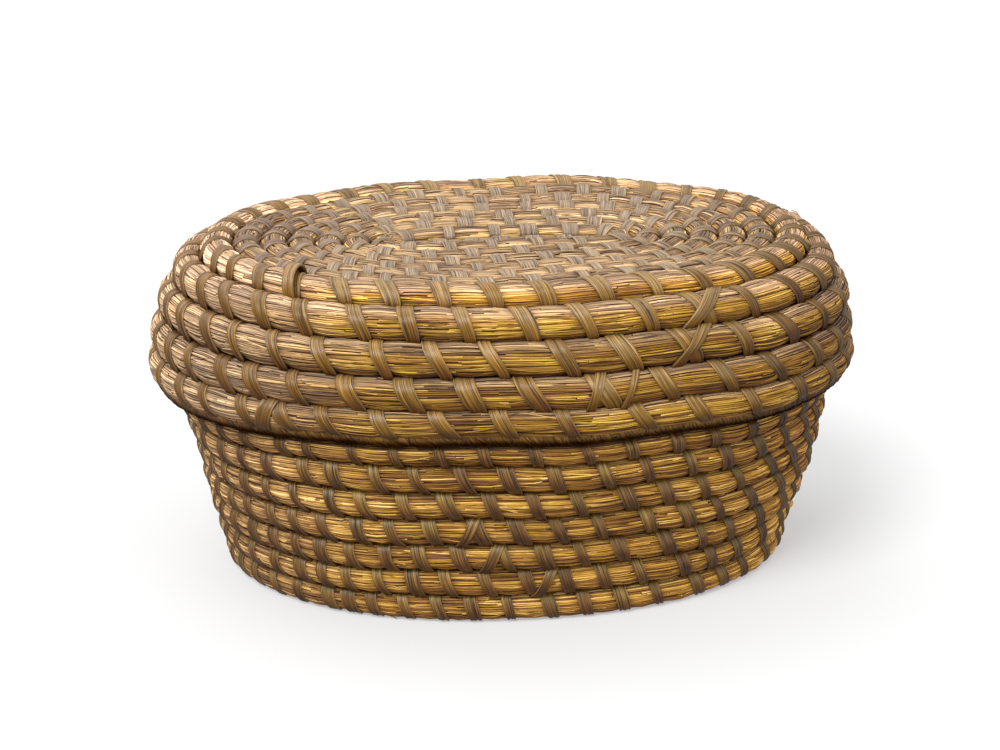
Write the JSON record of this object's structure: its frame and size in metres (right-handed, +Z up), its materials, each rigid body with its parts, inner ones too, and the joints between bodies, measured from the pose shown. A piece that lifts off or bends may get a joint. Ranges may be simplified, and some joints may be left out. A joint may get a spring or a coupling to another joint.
{
  "type": "lidded storage basket",
  "caption": "Oval storage basket coiled from straw bundles sewn with bark strips, with a wall that leans out and a domed lift-off lid of the same work.",
  "frame": {"origin": "middle of the underside, on the plane that the basket stands on", "axes": "+Z up through the lid, +X along the basket's length, -Y towards the front"},
  "size_m": [0.4346, 0.3218, 0.2062],
  "materials": {
    "straw": "dry straw stalks, satin",
    "lid_straw": "dry straw stalks, slightly weathered",
    "bark_strip": "split bark, fibrous, low sheen"
  },
  "bodies": {
    "basket": {"base_start_core": "straw", "base_start_strip": "bark_strip", "base_coil_1": "straw", "base_coil_2": "straw", "base_coil_3": "straw", "base_coil_4": "straw", "base_coil_5": "straw", "base_coil_6": "straw", "wall_coil_1": "straw", "wall_coil_2": "straw", "wall_coil_3": "straw", "wall_coil_4": "straw", "wall_coil_5": "straw", "wall_coil_6": "straw", "wall_coil_7": "straw", "neck_coil_1": "straw", "neck_coil_2": "straw"},
    "lid": {"lid_start_core": "lid_straw", "lid_start_strip": "bark_strip", "lid_top_coil_1": "lid_straw", "lid_top_coil_2": "lid_straw", "lid_top_coil_3": "lid_straw", "lid_top_coil_4": "lid_straw", "lid_top_coil_5": "lid_straw", "lid_top_coil_6": "lid_straw", "lid_crest_coil": "lid_straw", "lid_side_coil_4": "lid_straw", "lid_side_coil_3": "lid_straw", "lid_side_coil_2": "lid_straw", "lid_rim_coil": "lid_straw", "lid_edge_cord": "bark_strip"}
  },
  "joints": [
    {"name": "lid_lift", "type": "slide", "parent": "basket", "child": "lid", "axis": [0, 0, 1], "range_m": [0, 0.2]}
  ]
}
